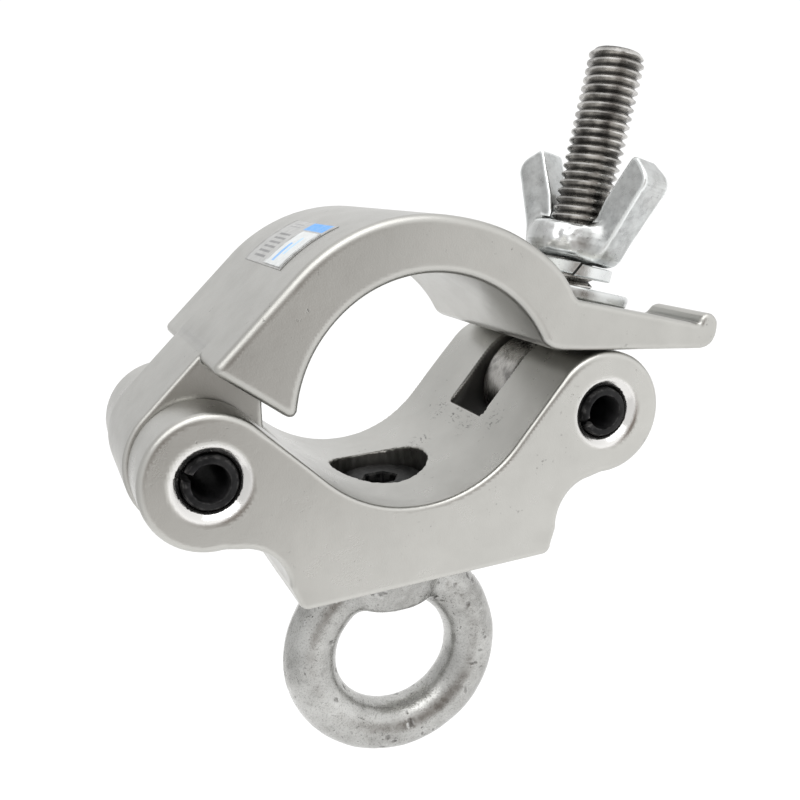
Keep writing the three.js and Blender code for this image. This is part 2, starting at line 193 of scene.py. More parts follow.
def surface(field, low, high, step):
    """Vertices, quads, normals and bend of the field's zero surface, with the vertices moved onto it."""
    axes = [np.arange(a - 2.37 * step, b + 3 * step, step) for a, b in zip(low, high)]
    values = field(axes[0][:, None, None], axes[1][None, :, None], axes[2][None, None, :])
    values = np.broadcast_to(values, [len(a) for a in axes])
    cells = np.array(values.shape) - 1
    rings, crossings = [], []
    for axis in range(3):
        u, v = (axis + 1) % 3, (axis + 2) % 3
        near = values[tuple(slice(0, -1) if k == axis else slice(None) for k in range(3))]
        far = values[tuple(slice(1, None) if k == axis else slice(None) for k in range(3))]
        where = np.argwhere((near < 0) != (far < 0))
        start, stop = near[tuple(where.T)], far[tuple(where.T)]
        at = where.astype(float)
        at[:, axis] += start / (start - stop)
        ring = []
        for du, dv in ((0, 0), (1, 0), (1, 1), (0, 1)):
            cell = where.copy()
            cell[:, u] -= du
            cell[:, v] -= dv
            ring.append(np.ravel_multi_index(cell.T, cells))
        ring = np.stack(ring, 1)
        ring[start > 0] = ring[start > 0][:, ::-1]
        rings.append(ring)
        crossings.append(at)
    rings, crossings = np.concatenate(rings), np.concatenate(crossings)
    _, quads = np.unique(rings.ravel(), return_inverse=True)
    corners = np.repeat(crossings, 4, axis=0)
    counts = np.bincount(quads)
    points = np.stack([np.bincount(quads, weights=corners[:, k]) / counts for k in range(3)], 1)
    points = points * step + np.array([a[0] for a in axes])
    for _ in range(3):
        slope, _ = slopes(field, points, 0.03)
        move = field(*points.T) / np.maximum((slope**2).sum(1), 0.3)
        points = points - slope * np.clip(move, -0.6 * step, 0.6 * step)[:, None]
    slope, _ = slopes(field, points, 0.05)
    normals = slope / np.linalg.norm(slope, axis=1)[:, None]
    reach = 0.35
    _, total = slopes(field, points, reach)
    curve = (total - 4 * field(*points.T)) / (2 * reach * reach)
    return points, quads.reshape(-1, 4), normals, curve


def finish_piece(mesh, body, material, nodes=()):
    mesh.materials.append(material)
    piece = bpy.data.objects.new(mesh.name, mesh)
    bpy.context.scene.collection.objects.link(piece)
    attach(piece, body)
    if nodes:
        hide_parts(*nodes)


def set_attribute(mesh, name, values):
    attribute = mesh.attributes.new(name, "FLOAT", "POINT")
    attribute.data.foreach_set("value", np.asarray(values, np.float32))


def field_mesh(name, field, low, high, step, turn=None, shift=(0, 0, 0), masks=None):
    """A mesh of the field's surface; turn's columns and shift place the field's own axes in the row frame."""
    points, quads, normals, curve = surface(field, low, high, step)
    masks = {key: mask(*points.T) for key, mask in (masks or {}).items()}
    if turn is not None:
        points, normals = points @ turn.T, normals @ turn.T
    points = points + np.array(shift)
    mesh = bpy.data.meshes.new(name)
    mesh.from_pydata((points * MM).tolist(), [], quads.tolist())
    mesh.polygons.foreach_set("use_smooth", np.ones(len(quads), bool))
    mesh.normals_split_custom_set_from_vertices(normals.tolist())
    # The bend gives two masks: one on convex bends, where most materials paint a highlight, and one on
    # concave bends, for painted shade in the creases.
    set_attribute(mesh, "edge", np.clip(curve * 0.9 - 0.12, 0, 1))
    set_attribute(mesh, "crease_shade", np.clip(-curve * 0.9 - 0.12, 0, 1))
    for key, values in masks.items():
        set_attribute(mesh, key, values)
    return mesh


def outer_corners(mesh):
    """0 on a plain mesh's flats and 1 on its outer corners, from how far each vertex stands out."""
    count = len(mesh.vertices)
    points, normals = np.empty(count * 3, np.float32), np.empty(count * 3, np.float32)
    mesh.vertices.foreach_get("co", points)
    mesh.vertex_normals.foreach_get("vector", normals)
    points, normals = points.reshape(-1, 3), normals.reshape(-1, 3)
    pairs = np.empty(len(mesh.edges) * 2, np.int32)
    mesh.edges.foreach_get("vertices", pairs)
    pairs = pairs.reshape(-1, 2)
    pairs = np.concatenate([pairs, pairs[:, ::-1]])
    away = points[pairs[:, 0]] - points[pairs[:, 1]]
    lean = (away * normals[pairs[:, 0]]).sum(1) / np.maximum(np.linalg.norm(away, axis=1), 1e-9)
    total = np.bincount(pairs[:, 0], weights=lean, minlength=count)
    return np.clip(3.5 * total / np.maximum(np.bincount(pairs[:, 0], minlength=count), 1), 0, 1)


def grid_mesh(name, points, faces, turn=None, shift=(0, 0, 0), sharp=32, values=None):
    points = np.asarray(points, float).reshape(-1, 3)
    if turn is not None:
        points = points @ turn.T
    points = (points + np.array(shift)) * MM
    mesh = bpy.data.meshes.new(name)
    mesh.from_pydata(points.tolist(), [], faces)
    for key, value in (values or {}).items():
        set_attribute(mesh, key, value)
    work = bmesh.new()
    work.from_mesh(mesh)
    bmesh.ops.remove_doubles(work, verts=work.verts, dist=1e-7)
    bmesh.ops.dissolve_degenerate(work, edges=work.edges, dist=1e-7)
    bmesh.ops.holes_fill(work, edges=[e for e in work.edges if e.is_boundary], sides=0)
    bmesh.ops.recalc_face_normals(work, faces=work.faces)
    work.to_mesh(mesh)
    work.free()
    mesh.polygons.foreach_set("use_smooth", np.ones(len(mesh.polygons), bool))
    mesh.set_sharp_from_angle(angle=math.radians(sharp))
    set_attribute(mesh, "edge", outer_corners(mesh))
    return mesh


def loft(loops, closed=False):
    """Points and faces through loops of the same number of points; the open ends are filled later."""
    loops = np.asarray(loops, float)
    rows, count = loops.shape[:2]
    faces = []
    for row in range(rows if closed else rows - 1):
        after = (row + 1) % rows
        for k in range(count):
            nxt = (k + 1) % count
            faces.append((row * count + k, row * count + nxt, after * count + nxt, after * count + k))
    return loops.reshape(-1, 3), faces


def ring_loops(profile, sides, centre=(0, 0)):
    """Loops about the Z axis, one for each (radius, height) of the profile."""
    turn = np.linspace(0, 2 * math.pi, sides, endpoint=False)
    return [np.stack([centre[0] + r * np.cos(turn), centre[1] + r * np.sin(turn), np.full(sides, h)], 1)
            for r, h in profile]


# ---- cast base ----
SADDLE_END = math.atan2(BOLT_Z, BOLT_X) - math.acos((TUBE_R + LUG_R) / math.hypot(BOLT_X, BOLT_Z))
SADDLE_POINT = (TUBE_R * math.cos(SADDLE_END), TUBE_R * math.sin(SADDLE_END))
LUG_POINT = (BOLT_X - LUG_R * math.cos(SADDLE_END), BOLT_Z - LUG_R * math.sin(SADDLE_END))
BASE_SIDE = [
    (-6, BASE_BOTTOM),
    *arc(23.6, BASE_BOTTOM + BASE_CORNER_R, BASE_CORNER_R, -90, 0, 6),
    *arc(*FLANK_CENTRE, FLANK_R, 180, 96, 26),
    (BOLT_X + LUG_R * math.cos(math.radians(-62)), BOLT_Z + LUG_R * math.sin(math.radians(-62))),
    (BOLT_X, BOLT_Z),
    LUG_POINT,
    SADDLE_POINT,
    (-6, SADDLE_POINT[1]),
]


def pin_hole(x, y, z, centre_x, centre_z):
    radial = np.hypot(x - centre_x, z - centre_z)
    flare = ((radial - PIN_FLARE_R) * 1.5 - (np.abs(y) - HALF_WIDTH) * 1.7) / 2.267
    return round_min(radial - PIN_HOLE_R, flare, 0.3)


def base_field(x, y, z):
    ax, ay = np.abs(x), np.abs(y)
    side = np.minimum(polygon(ax, z, BASE_SIDE), circle(ax, z, BOLT_X, BOLT_Z, LUG_R))
    side = np.maximum(side, -circle(ax, z, 0, 0, TUBE_R))
    body = round_max(side, ay - HALF_WIDTH, 0.8 + 0.45 * smooth_step(ax, 24, 33))
    body = body + 0.04 * noise(x, y, z, 9.0, 11) * smooth_step(HALF_WIDTH - ay, 0.0, 0.2)
    pocket = np.minimum(circle(x, z, HINGE_X, HINGE_Z, FORK_POCKET_R),
                        np.maximum(x - HINGE_X, HINGE_Z - FORK_POCKET_R - z))
    body = round_max(body, -round_max(pocket, ay - FORK_HALF, 0.8), 0.9)
    slot = round_max(round_max(SLOT_START - x, ay - SLOT_HALF, 0.7), SLOT_FLOOR - z, 0.7)
    body = round_max(body, -slot, 0.3)
    turn = np.arctan2(y, x)
    ragged = 0.1 * np.sin(9 * turn + 1) * np.sin(23 * turn) * smooth_step(z, -30, -26)
    well = round_max(np.hypot(x, y) - COUNTERBORE_R - ragged, COUNTERBORE_FLOOR - z, 0.4)
    body = round_max(body, -well, 0.25)
    body = round_max(body, -(np.hypot(x, y) - SCREW_HOLE_R), 0.3)
    body = np.maximum(body, -np.maximum(np.hypot(x, y) - 13, z - BASE_BOTTOM - 0.4))
    holes = np.minimum(pin_hole(x, y, z, HINGE_X, HINGE_Z), pin_hole(x, y, z, BOLT_X, BOLT_Z))
    return round_max(body, -holes, 0.4)


def base_painted_shade(x, y, z):
    """1 inside the bolt's slot and the screw's counterbore, where painted shade darkens the colour and the
    surface is rougher.
    """
    depth = smooth_step(TUBE_R + 0.1 - np.hypot(x, z), -3.0, -0.4)
    well = smooth_step(COUNTERBORE_R + 0.25 - np.hypot(x, y), 0, 0.3)
    slot = smooth_step(SLOT_HALF + 0.25 - np.abs(y), 0, 0.3) * smooth_step(x, SLOT_START - 0.3, SLOT_START)
    slot = slot * (1 - smooth_step(x, 27, 35)) * smooth_step(z, SLOT_FLOOR - 0.5, SLOT_FLOOR - 0.2)
    return np.maximum(0.45 * well, slot) * (1 - depth) * smooth_step(z, BASE_BOTTOM + 0.3, BASE_BOTTOM + 0.9)


# Rubbed places on the saddle beside the slot and the counterbore: x, y and size.
SCUFFS = [(18.2, 8.6, 2.6), (18.4, 1.5, 2.2), (18.0, -4.5, 2.4), (11.0, 4.5, 3.2), (20.5, -12.5, 2.4)]


def base_scuffs(x, y, z):
    total = 0
    for cx, cy, size in SCUFFS:
        total = total + np.exp(-((x - cx) ** 2 + (y - cy) ** 2) / size**2)
    return np.clip(total, 0, 1) * smooth_step(z, -26, -25)


def base_machined(x, y, z):
    radial = np.hypot(np.abs(x) - BOLT_X, z - BOLT_Z)
    return smooth_step(np.abs(y), 23.2, 23.6) * smooth_step(-radial, -PIN_FLARE_R - 0.25, -PIN_FLARE_R)


# ---- cast jaw ----
OUTER = (0.9, -6.6, 32.85)
INNER = (2.1, -8.9, 25.0)
FLANK_ANGLE = 131.6
FLANK_TOP = arc(*OUTER, FLANK_ANGLE, FLANK_ANGLE, 1)[0]
SHOULDER = arc(*OUTER, 80, 80, 1)[0]
BROW = (20.6, 20.9)
HOLLOW_END = arc(*INNER, 24, 24, 1)[0]
STEP_OUTER = (-36.4, 4.4)
STEP_TIP = (-25.0, -4.7)
STEP_ANGLE = math.degrees(math.atan2(STEP_OUTER[0] - STEP_TIP[0], STEP_TIP[1] - STEP_OUTER[1])) % 360
TAB_TOP = (31.8, 8.35)
TAB_DROP = math.tan(math.radians(15.8))
LIP_X = 60.1
LIP_FOOT = TAB_TOP[1] - (LIP_X - TAB_TOP[0]) * TAB_DROP
LIP_TOP = LIP_FOOT + 1.6
TAB_SIDE = [
    (4, 20),
    (16, 15.5),
    *bend(HOLLOW_END, (26.2, -0.63), (29.2, -0.96), 12),
    *bend((60.6, -4.6), (64.5, -4.6), (64.5, LIP_TOP - 1.6)),
    *bend((64.5, LIP_TOP - 1.6), (63.3, LIP_TOP + 1.1), (LIP_X + 0.9, LIP_TOP))[1:],
    *bend((LIP_X + 0.25, LIP_FOOT + 0.9), (LIP_X, LIP_FOOT), (LIP_X - 0.9, LIP_FOOT + 0.9 * TAB_DROP), 5),
    *bend((33.2, TAB_TOP[1] - 1.4 * TAB_DROP), (31.8, 8.35), (31.1, 10.5)),
    *bend((31.1, 10.5), (28.6, 16.1), BROW, 12)[1:],
    *bend(BROW, (15.0, 24.27), SHOULDER, 12)[1:],
]
TONGUE_SIDE = [
    arc(HINGE_X, HINGE_Z, KNUCKLE_R, 340, 340, 1)[0], (-25.6, -3.7), (-24, 2), (-28, 11), STEP_OUTER,
    arc(HINGE_X, HINGE_Z, KNUCKLE_R, FLANK_ANGLE, FLANK_ANGLE, 1)[0], (HINGE_X, HINGE_Z),
]
ROD_TILT = math.atan2(ROD_AXIS[0], ROD_AXIS[2])
TAB_SLOT_X = 43.4


def jaw_field(x, y, z):
    ay = np.abs(y)
    crown = np.maximum(circle(x, z, *OUTER), 2 - z)
    flank = half_plane(x, z, *FLANK_TOP, FLANK_ANGLE)
    arm = round_max(flank, half_plane(x, z, *STEP_TIP, STEP_ANGLE), 1.4)
    arm = np.maximum(np.maximum(arm, half_plane(x, z, *FLANK_TOP, FLANK_ANGLE - 90)), x + 8)
    side = np.minimum(np.minimum(crown, arm), polygon(x, z, TAB_SIDE))
    # A blend radius near zero keeps the shape true where two surfaces run on into each other.
    side = round_max(side, -circle(x, z, *INNER), 0.02 + 2.1 * smooth_step(-x, 4, 12))
    wave = 0.12 * noise(x, y, z, 7.0, 3)
    rim = 1.55 - 0.55 * smooth_step(x, 24, 36) + wave * (1 - smooth_step(x, 20, 30))
    body = round_max(side, ay - HALF_WIDTH, rim)
    tongue = np.minimum(circle(x, z, HINGE_X, HINGE_Z, KNUCKLE_R), polygon(x, z, TONGUE_SIDE))
    tongue = round_max(tongue, ay - TONGUE_HALF, 0.8)
    body = round_min(body, tongue, 0.02 + 0.5 * smooth_step(-flank, 0.4, 2.0))
    body = round_max(body, -(np.hypot(x - HINGE_X, z - HINGE_Z) - PIN_HOLE_R), 0.4)
    across = (x - TAB_SLOT_X) * math.cos(ROD_TILT) - z * math.sin(ROD_TILT)
    slot = np.hypot(np.minimum(across, 0), y) - SLOT_HALF
    lip = smooth_step(x, LIP_X - 1, LIP_X + 1) * smooth_step(z, LIP_FOOT, LIP_FOOT + 0.6)
    return round_max(body, -slot, 0.6 + 0.9 * lip)


# ---- swing bolt, washers and wing nut; their own Z runs along the rod from the bolt's pin ----
ROD_FRAME = np.array([(ROD_AXIS[2], 0, ROD_AXIS[0]), (0, 1, 0), (-ROD_AXIS[0], 0, ROD_AXIS[2])])
ROD_ORIGIN = (BOLT_X, 0, BOLT_Z)


def bolt_eye_field(x, y, z):
    eye = round_max(np.hypot(x, z) - BOLT_EYE_R, np.abs(y) - BOLT_EYE_HALF, 2.2)
    neck = np.maximum(np.hypot(x, y) - BOLT_NECK_R, np.maximum(4 - z, z - 16))
    return round_max(round_min(eye, neck, 1.6), -(np.hypot(x, z) - PIN_HOLE_R), 0.4)


def threaded_rod(start, end, crest, root, end_radius, sides=72, rows=12):
    """A closed rod with a true helical thread: every row of vertices follows the helix."""
    shape = np.interp(np.arange(rows) / rows, [0, 0.08, 0.45, 0.55, 0.92, 1], [1, 1, 0, 0, 1, 1])
    count = int((end - start) / THREAD_PITCH * rows) + 2 * rows
    row, side = np.meshgrid(np.arange(-rows, count), np.arange(sides), indexing="ij")
    height = start + THREAD_PITCH * (row / rows + side / sides)
    crestness = shape[row % rows]
    room = np.clip(np.minimum(height - start, end - height), 0, None)
    radius = np.minimum(root + (crest - root) * crestness, end_radius + room)
    height = np.clip(height, start, end)
    turn = 2 * math.pi * side / sides
    points = np.stack([radius * np.cos(turn), radius * np.sin(turn), height], -1).reshape(-1, 3)
    total = row.shape[0]
    faces = []
    for k in range(total - 1):
        for i in range(sides - 1):
            first = k * sides + i
            faces.append((first, first + 1, first + 1 + sides, first + sides))
        if k + 1 + rows < total:
            seam = (k + rows) * sides
            faces.append((k * sides + sides - 1, seam, seam + sides, (k + 1) * sides + sides - 1))
    return points, faces, {"crest": crestness.ravel(), "groove": 1 - crestness.ravel()}


NUT_WING = [
    (0, 0.9),
    (8.6, 0.9),
    *bend((9.6, 1.6), (11.3, 4.0), (12.6, 7.0)),
    *bend((16.3, 15.2), (18.2, 17.9), (15.5, 20.2), 9),
    *bend((13.4, 21.9), (12.3, 22.6), (11.7, 21.4), 5),
    (7.4, 13.0),
    (5.6, 7.0),
    (0, 6.2),
]
NUT_HUB = [
    (-3, 0),
    (7.4, 0),
    *bend((7.9, 0.1), (9.6, 0.7), (9.9, 3.0)),
    *bend((9.9, 3.4), (9.7, 5.6), (9.2, 6.6), 4),
    *bend((9.2, 6.6), (9.1, 7.0), (8.6, 7.1), 3)[1:],
    (-3, 7.1),
]


def nut_land(x, y, z):
    """The two rough cast lands on the hub, between the wings."""
    turn = np.arctan2(y, x)
    land = np.exp(-(((turn + 1.2) / 0.42) ** 6)) + np.exp(-(((turn - 1.94) / 0.42) ** 6))
    return land * smooth_step(z, 0.9, 1.6) * smooth_step(-z, -6.9, -6.3) * smooth_step(np.hypot(x, y), 7, 8)


def nut_field(x, y, z):
    reach = np.abs(x - 0.4)
    outward = reach - 5.6 - 0.43 * (z - 7)
    half = 2.9 + 0.45 * smooth_step(z, 4, 20) + 0.7 * smooth_step(outward, 0.5, 5)
    wings = round_max(polygon(1.03 * reach, 1.015 * z, NUT_WING), np.abs(y) - half, 0.55)
    hub = polygon(np.hypot(x, y), z, NUT_HUB)
    hub = hub - nut_land(x, y, z) * (0.3 + 0.32 * noise(x, y, z, 1.5, 9))
    body = round_min(hub, wings, 2.6) + 0.05 * noise(x, y, z, 2.5, 5)
    bore = np.hypot(x, y) - ROD_R - 0.3
    flare = np.maximum((bore + 5.9 - z) * 0.707, z - 8)
    return round_max(body, -np.minimum(bore, flare), 0.25)


def square_spring(radius_in, radius_out, low, height, start, end, rise, sides=96):
    """A split washer's ring: a square section with eased edges, swept round and slightly up."""
    ease = 0.22
    inner, outer, top = radius_in + ease, radius_out - ease, height - ease
    section = [(inner, 0), (outer, 0), (radius_out, ease), (radius_out, top),
               (outer, height), (inner, height), (radius_in, top), (radius_in, ease)]
    loops = []
    for turn in np.radians(np.linspace(start, end, sides)):
        share = (turn - math.radians(start)) / math.radians(end - start)
        lean = math.radians(16) * abs(2 * share - 1) ** 24
        loop = []
        for r, h in section:
            angle = turn + lean * (h / height - 0.5) * 0.5
            loop.append((r * math.cos(angle), r * math.sin(angle), low + h + rise * share))
        loops.append(loop)
    return loft(loops)


# ---- eye nut and its screw ----
EYE_COLLAR = [(-6, -53.8), *bend((8.4, -53.8), (9.9, -53.5), (10.3, -51.8), 5), (12.4, -45.2), (12.5, -40.8),
              (12.1, -40.4), (-6, -40.4)]


def eye_field(x, y, z):
    turn = math.radians(-EYE_YAW)
    across, through = x * math.cos(turn) - y * math.sin(turn), x * math.sin(turn) + y * math.cos(turn)
    radial = np.hypot(across, z - EYE_RING_Z)
    ring = np.hypot(radial - EYE_RING_R, through) - EYE_SECTION_R
    ring = ring - 0.14 * np.exp(-((through / 0.55) ** 2)) * smooth_step(radial, 21, 23)
    collar = polygon(np.hypot(x, y), z, EYE_COLLAR)
    body = round_min(ring, collar, 2.2)
    rough = 0.07 * noise(x, y, z, 5.0, 1) + 0.04 * noise(x, y, z, 1.7, 2)
    pits = 0.22 * smooth_step(noise(x, y, z, 1.3, 7), 0.55, 0.9)
    pits = pits * smooth_step(noise(x, y, z, 6.0, 8), 0.0, 0.5)
    body = body + (rough + pits) * smooth_step(-z, 41, 43)
    bore = np.maximum(np.hypot(x, y) - 6.15, -51.6 - z)
    return round_max(body, -bore, 0.3)


def screw_loops():
    sides = 72
    turn = np.linspace(0, 2 * math.pi, sides, endpoint=False)
    hexagon = 3.15 / np.cos((turn % (math.pi / 3)) - math.pi / 6)
    top = COUNTERBORE_FLOOR + 0.1 + 6.7
    rows = [
        (hexagon, top - 4.4), (hexagon, top - 0.45), (hexagon + 0.35, top - 0.05),
        (hexagon * 0.3 + 3.6, top), (8.15, top), (8.6, top - 0.15), (8.9, top - 0.5),
        (9.0, top - 1.0), (9.0, top - 6.4), (8.7, top - 7),
        (5.85, top - 7), (5.85, -49.6), (4.9, -50.6),
    ]
    return loft([np.stack([r * np.cos(turn), r * np.sin(turn), np.full(sides, h)], 1) for r, h in rows])


def spring_pin_loops(slot_angle):
    """A rolled tube with a slot along it and eased ends; its own Z runs along the pin."""
    rows = [(-24.3, 4.25, 3.6), (-24.2, 4.5, 3.4), (-23.7, 4.8, 3.2), (-23.1, PIN_R, 3.15)]
    rows = rows + [(-h, outer, inner) for h, outer, inner in reversed(rows)]
    loops = []
    for height, outer, inner in rows:
        gap_out, gap_in = math.asin(0.65 / outer), math.asin(0.65 / inner)
        outside = np.linspace(gap_out, 2 * math.pi - gap_out, 48)
        inside = np.linspace(2 * math.pi - gap_in, gap_in, 40)
        around = np.concatenate([outside, inside]) + math.radians(slot_angle)
        radius = np.concatenate([np.full(48, outer), np.full(40, inner)])
        loops.append(np.stack([radius * np.cos(around), np.full(88, height), -radius * np.sin(around)], 1))
    return loft(loops)


def label_sheet(angles, widths, radius, thickness, corner, rows=28, columns=20):
    """A thin sheet round the jaw's outer face with rounded corners, and its own UV from 0 to 1."""
    start, end = angles
    left, right = widths
    length = math.radians(end - start) * radius
    verts, uvs, faces = [], [], []
    for level in (radius, radius + thickness):
        for i in range(rows + 1):
            v = i / rows
            near_end = max(0.0, corner - min(v, 1 - v) * length)
            pull = corner - math.sqrt(max(corner * corner - near_end * near_end, 0.0))
            for j in range(columns + 1):
                u = j / columns
                y = left + pull + (right - left - 2 * pull) * u
                angle = math.radians(start + (end - start) * v)
                verts.append((OUTER[0] + level * math.cos(angle), y, OUTER[1] + level * math.sin(angle)))
                uvs.append(((y - left) / (right - left), v))
    size = (rows + 1) * (columns + 1)
    for i in range(rows):
        for j in range(columns):
            a = i * (columns + 1) + j
            b = a + columns + 1
            faces.append((size + a, size + a + 1, size + b + 1, size + b))
            faces.append((a, b, b + 1, a + 1))
    border = list(range(columns)) + [i * (columns + 1) + columns for i in range(rows)]
    border += [rows * (columns + 1) + columns - j for j in range(columns)]
    border += [(rows - i) * (columns + 1) for i in range(rows)]
    for a, b in zip(border, border[1:] + border[:1]):
        faces.append((a, b, size + b, size + a))
    return verts, faces, uvs


# ---- materials ----
def node(tree, kind, inputs=None, output=0, **settings):
    made = tree.nodes.new("ShaderNode" + kind)
    for key, value in settings.items():
        setattr(made, key, value)
    for key, value in (inputs or {}).items():
        if isinstance(value, bpy.types.NodeSocket):
            tree.links.new(value, made.inputs[key])
        else:
            made.inputs[key].default_value = value
    return made.outputs[output]


def blend_colour(tree, share, a, b):
    return node(tree, "Mix", {0: share, 6: a, 7: b}, 2, data_type="RGBA")


def stretch(tree, value, low, high, to_low=0.0, to_high=1.0):
    inputs = {"Value": value, "From Min": low, "From Max": high, "To Min": to_low, "To Max": to_high}
    return node(tree, "MapRange", inputs)


def times(tree, a, b, operation="MULTIPLY"):
    return node(tree, "Math", {0: a, 1: b}, operation=operation)


def grey(value, tint=(1, 1, 1)):
    return (value * tint[0], value * tint[1], value * tint[2], 1)


def start_material(name, metallic):
    material = bpy.data.materials.new(name)
    material.use_nodes = True
    tree = material.node_tree
    shader = tree.nodes["Principled BSDF"]
    shader.inputs["Metallic"].default_value = metallic
    coords = node(tree, "TexCoord", output="Object")
    return material, tree, shader, coords


def fine_noise(tree, coords, scale, detail=2, roughness=0.5, output=0):
    inputs = {"Vector": coords, "Scale": scale, "Detail": detail, "Roughness": roughness}
    return node(tree, "TexNoise", inputs, output)


def attribute(tree, name):
    return node(tree, "Attribute", output="Fac", attribute_name=name)


def set_bump(tree, shader, layers):
    """layers are (height, distance in metres, strength), the coarsest first."""
    normal = None
    for height, distance, strength in layers:
        inputs = {"Height": height, "Distance": distance, "Strength": strength}
        if normal is not None:
            inputs["Normal"] = normal
        normal = node(tree, "Bump", inputs)
    tree.links.new(normal, shader.inputs["Normal"])


ALUMINIUM_TINT = (1.0, 0.99, 0.94)
ZINC_TINT = (0.975, 1.0, 0.995)


def cast_aluminium(name, level, smooth, dull):
    material, tree, shader, coords = start_material(name, 1.0)

    def shade(share):
        return grey(min(level * share, 0.95), ALUMINIUM_TINT)

    broad = fine_noise(tree, coords, 45, 3)
    grain = fine_noise(tree, coords, 3200, 3, 0.6)
    cloud = fine_noise(tree, coords, 170, 4, 0.65)
    speck = stretch(tree, fine_noise(tree, coords, 950, 2, 0.7), 0.66, 0.74)
    speck = times(tree, speck, stretch(tree, fine_noise(tree, coords, 120, 1), 0.5, 0.68))
    colour = blend_colour(tree, stretch(tree, broad, 0.3, 0.7), shade(0.94), shade(1.05))
    colour = blend_colour(tree, stretch(tree, cloud, 0.45, 0.8, 0, 0.25), colour, shade(0.86))
    # Painted highlight: convex edges lightened.
    edge = attribute(tree, "edge")
    colour = blend_colour(tree, stretch(tree, edge, 0.1, 0.9, 0, 0.4), colour, shade(1.25))
    # Painted shade: creases and concave corners darkened.
    crease_shade = stretch(tree, attribute(tree, "crease_shade"), 0.1, 0.9, 0, 0.5)
    colour = blend_colour(tree, crease_shade, colour, shade(0.55))
    colour = blend_colour(tree, times(tree, speck, 0.65), colour, grey(0.16, (1, 0.97, 0.93)))
    machined = attribute(tree, "machined")
    colour = blend_colour(tree, machined, colour, grey(0.70, (1, 0.985, 0.96)))
    # Painted shade: the slot and the counterbore darkened almost to black.
    painted_recess_shade = attribute(tree, "painted_recess_shade")
    colour = blend_colour(tree, stretch(tree, painted_recess_shade, 0, 1, 0, 0.9), colour, grey(0.035, (1, 0.98, 0.97)))
    scuff_and_highlight = node(tree, "Mapping", {"Vector": coords, "Scale": (1.0, 0.45, 1.0), "Rotation": (0.0, 0.0, 0.6)})
    scuff = stretch(tree, fine_noise(tree, scuff_and_highlight, 1500, 3, 0.75), 0.56, 0.62)
    scuff = times(tree, scuff, stretch(tree, attribute(tree, "scuffed"), 0.25, 0.9))
    colour = blend_colour(tree, times(tree, scuff, 0.75), colour, grey(0.10, (1, 0.98, 0.95)))
    tree.links.new(colour, shader.inputs["Base Color"])
    rough = stretch(tree, cloud, 0.3, 0.7, smooth, dull)
    rough = times(tree, rough, stretch(tree, edge, 0.1, 0.9, 0, 0.07), "ADD")
    rough = times(tree, rough, times(tree, machined, 0.18), "SUBTRACT")
    rough = times(tree, rough, times(tree, painted_recess_shade, 0.25), "ADD")
    tree.links.new(rough, shader.inputs["Roughness"])
    set_bump(tree, shader, [(cloud, 0.00012, 0.35), (grain, 0.00004, 0.45), (speck, -0.00006, 0.5)])
    return material


def zinc_plate(name):
    material, tree, shader, coords = start_material(name, 1.0)
    mottle = fine_noise(tree, coords, 420, 4, 0.65)
    broad = fine_noise(tree, coords, 110, 2)
    grain = fine_noise(tree, coords, 2600, 2)
    patchy = stretch(tree, mottle, 0.35, 0.68)
    colour = blend_colour(tree, patchy, grey(0.40, ZINC_TINT), grey(0.64, ZINC_TINT))
    warm = stretch(tree, broad, 0.35, 0.7, 0, 0.5)
    colour = blend_colour(tree, warm, colour, grey(0.56, (1, 0.995, 0.965)))
    # Painted highlight: convex edges lightened.
    edge = attribute(tree, "edge")
    colour = blend_colour(tree, stretch(tree, edge, 0.15, 0.9, 0, 0.7), colour, grey(0.93, ZINC_TINT))
    # Painted shade: creases darkened.
    crease_shade = stretch(tree, attribute(tree, "crease_shade"), 0.05, 0.6, 0, 0.55)
    colour = blend_colour(tree, crease_shade, colour, grey(0.3, ZINC_TINT))
    land = stretch(tree, attribute(tree, "machined"), 0, 1, 0, 0.5)
    colour = blend_colour(tree, land, colour, grey(0.8))
    pit = stretch(tree, fine_noise(tree, coords, 1100, 2, 0.75), 0.64, 0.72)
    pit = times(tree, pit, stretch(tree, fine_noise(tree, coords, 240, 2), 0.5, 0.62))
    colour = blend_colour(tree, times(tree, pit, 0.6), colour, grey(0.12))
    tree.links.new(colour, shader.inputs["Base Color"])
    tree.links.new(stretch(tree, mottle, 0.3, 0.7, 0.22, 0.42), shader.inputs["Roughness"])
    set_bump(tree, shader, [(broad, 0.0003, 0.25), (mottle, 0.00012, 0.35), (grain, 0.00002, 0.3)])
    return material


